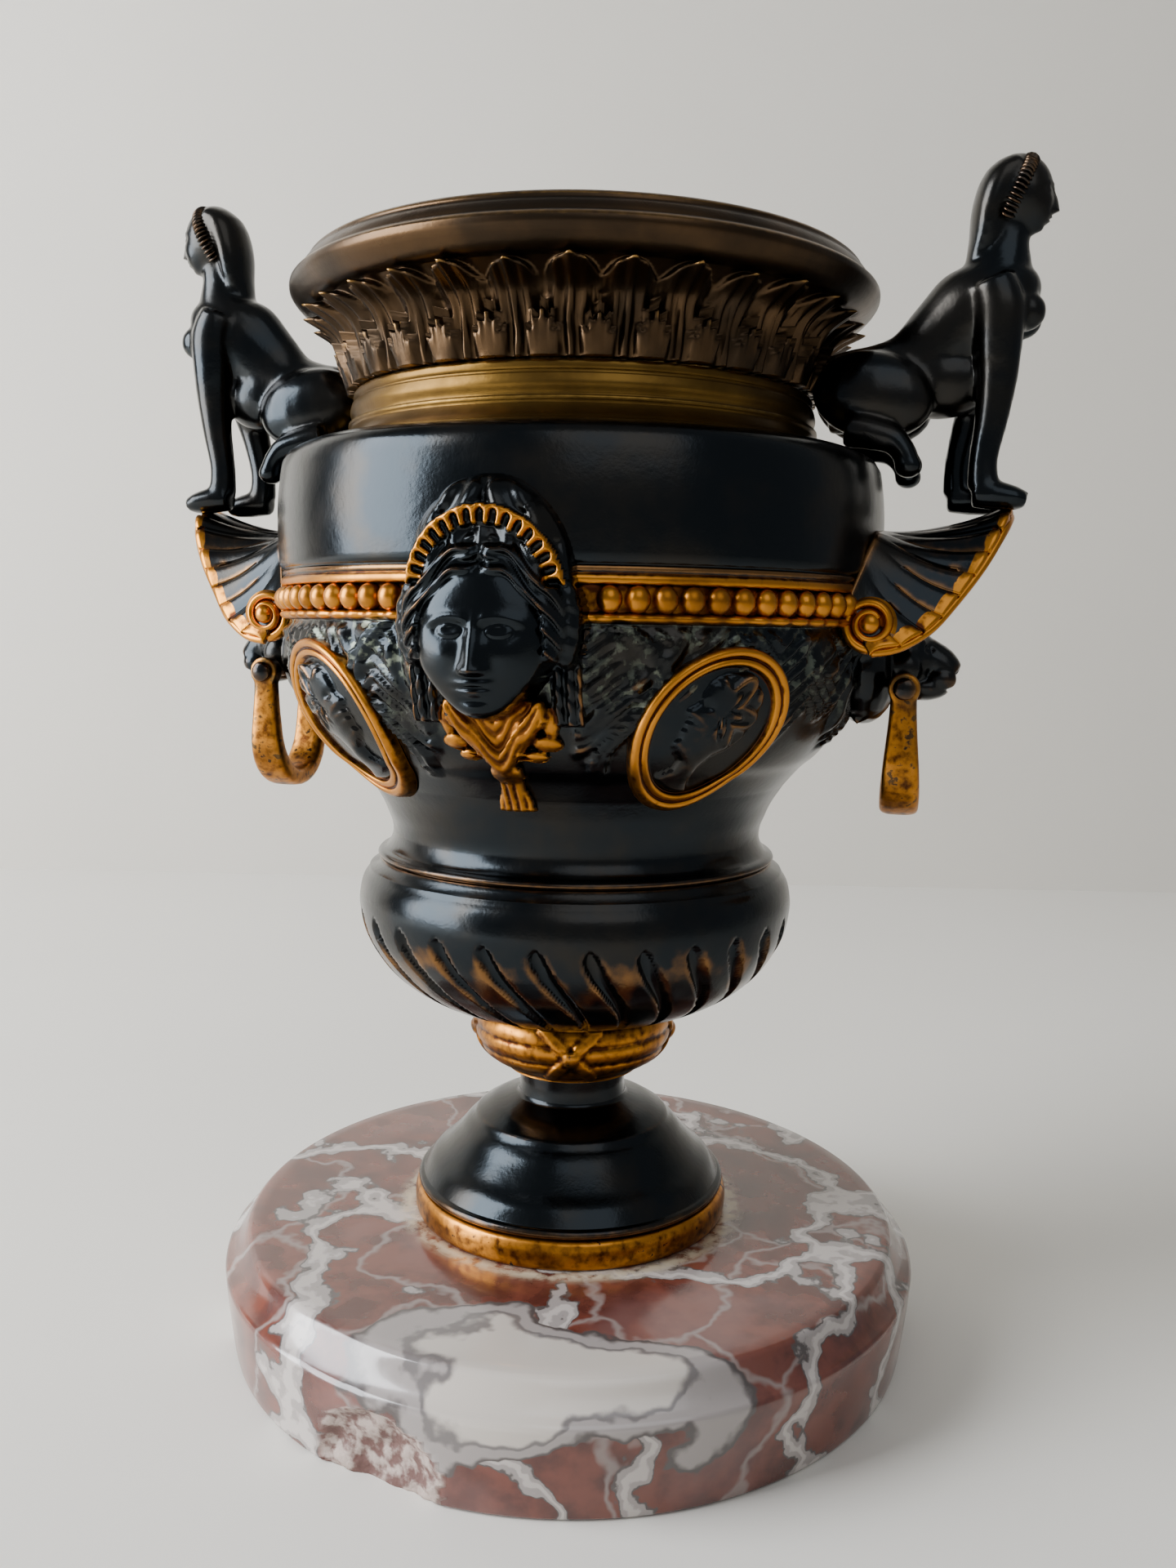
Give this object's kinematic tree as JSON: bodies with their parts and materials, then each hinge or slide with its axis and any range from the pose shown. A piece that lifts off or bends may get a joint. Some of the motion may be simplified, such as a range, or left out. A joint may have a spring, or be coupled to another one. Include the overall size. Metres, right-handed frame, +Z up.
{
  "type": "medici vase",
  "caption": "Footed krater vase of black and gilt bronze on a round marble base, with masks, oval medallions, sphinxes and lion heads that hold swinging bails.",
  "frame": {"origin": "centre of the marble base's underside", "axes": "+Z up along the vase's axis, -Y through the front mask, +X through the right sphinx"},
  "size_m": [0.1608, 0.13, 0.211],
  "materials": {
    "marble": "polished red breccia marble with grey-white veins",
    "black_bronze": "bronze with a worn black patina",
    "brown_bronze": "bronze with a brown patina, rubbed on the edges",
    "gilt_bronze": "worn fire gilding",
    "brass": "turned brass, aged"
  },
  "bodies": {
    "vase": {"marble_base": "marble", "foot_ring": "gilt_bronze", "foot": "black_bronze", "knop": "gilt_bronze", "bowl": "black_bronze", "body": "black_bronze", "neck_ring": "brass", "mouth": "brown_bronze", "mask_front": "black_bronze", "mask_back": "black_bronze", "medallion_front_left": "gilt_bronze", "medallion_front_right": "gilt_bronze", "medallion_back_left": "gilt_bronze", "medallion_back_right": "gilt_bronze", "lion_head_left": "black_bronze", "lion_head_right": "black_bronze", "shell_bracket_left": "black_bronze", "shell_bracket_right": "black_bronze", "sphinx_left": "black_bronze", "sphinx_right": "black_bronze"},
    "left_bail": {"bail_left": "gilt_bronze"},
    "right_bail": {"bail_right": "gilt_bronze"}
  },
  "joints": [
    {"name": "bail_left_swing", "type": "hinge", "parent": "vase", "child": "left_bail", "pos_m": [-0.0588, 0, 0.1228], "axis": [0, 1, 0], "range_deg": [-12, 80]},
    {"name": "bail_right_swing", "type": "hinge", "parent": "vase", "child": "right_bail", "pos_m": [0.0588, 0, 0.1228], "axis": [0, -1, 0], "range_deg": [-12, 80]}
  ]
}
